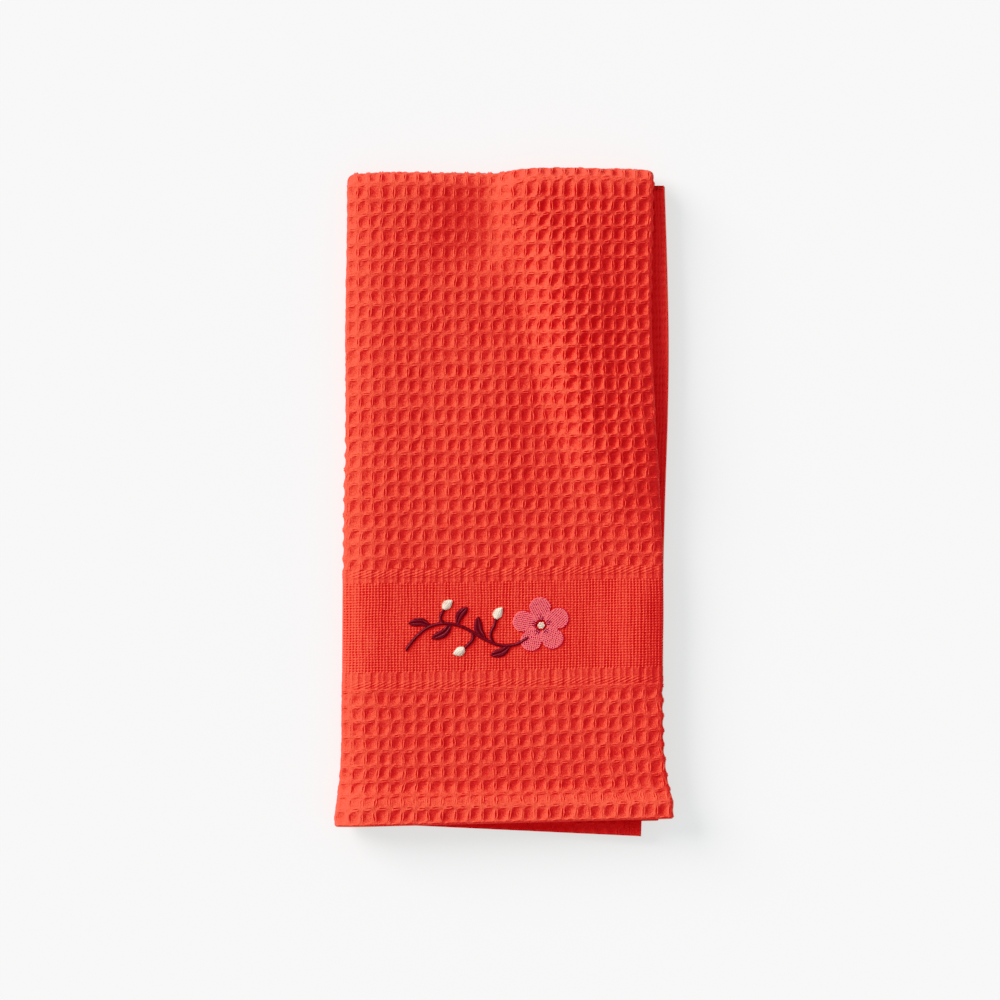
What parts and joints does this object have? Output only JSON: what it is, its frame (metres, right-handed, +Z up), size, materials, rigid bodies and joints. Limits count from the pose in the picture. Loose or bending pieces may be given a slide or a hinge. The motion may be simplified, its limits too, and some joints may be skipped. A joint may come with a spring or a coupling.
{
  "type": "folded kitchen towel",
  "caption": "Red waffle-weave cotton kitchen towel, folded lengthwise and then in half, with a plain woven border, turned hems and a small embroidered sprig.",
  "frame": {"origin": "on the surface that the towel lies on, under the middle of its outline", "axes": "+Z up, out of the face that shows; +Y along the towel towards its half fold; +X towards the side where the inner third's selvedge stands out"},
  "size_m": [0.1808, 0.3583, 0.022],
  "materials": {
    "waffle_cotton": "matte",
    "pink_thread": "satin",
    "maroon_thread": "satin",
    "cream_thread": "satin"
  },
  "bodies": {
    "root": {"towel_cloth": "waffle_cotton"}
  },
  "joints": []
}
